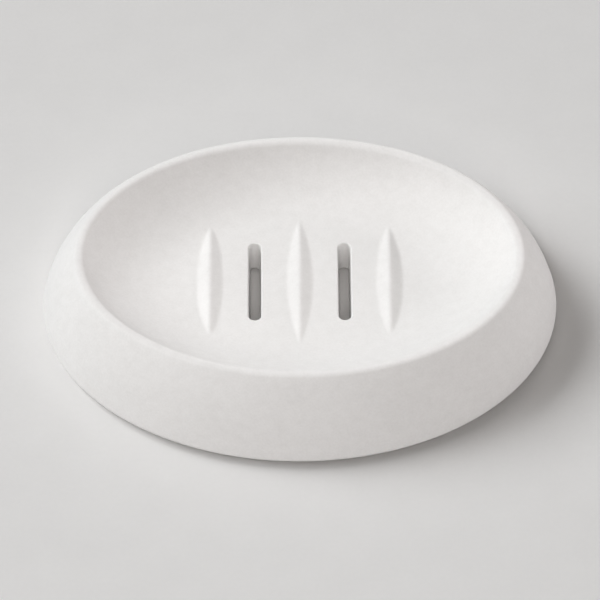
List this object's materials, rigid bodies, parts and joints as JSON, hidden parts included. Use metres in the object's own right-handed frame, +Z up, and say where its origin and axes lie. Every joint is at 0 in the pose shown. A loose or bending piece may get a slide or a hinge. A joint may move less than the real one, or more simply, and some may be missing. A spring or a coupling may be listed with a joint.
{
  "type": "soap dish",
  "caption": "Oval cast soap dish with a sloping, slightly bulging skirt, a shallow bowl, lens-shaped ridges and through drain slots, standing on silicone pads.",
  "frame": {"origin": "on the counter, under the middle of the dish", "axes": "+X along the dish's length, +Y across it towards the rear, +Z up"},
  "size_m": [0.139, 0.1064, 0.0232],
  "materials": {
    "cast_stone": "matte, fine sandy cast surface",
    "silicone": "matte, slightly milky",
    "adhesive": "matte"
  },
  "bodies": {
    "root": {"dish_body": "cast_stone", "foot_front_left": "silicone", "foot_front_right": "silicone", "foot_rear_left": "silicone", "foot_rear_right": "silicone", "adhesive_front_left": "adhesive", "adhesive_front_right": "adhesive", "adhesive_rear_left": "adhesive", "adhesive_rear_right": "adhesive"}
  },
  "joints": []
}
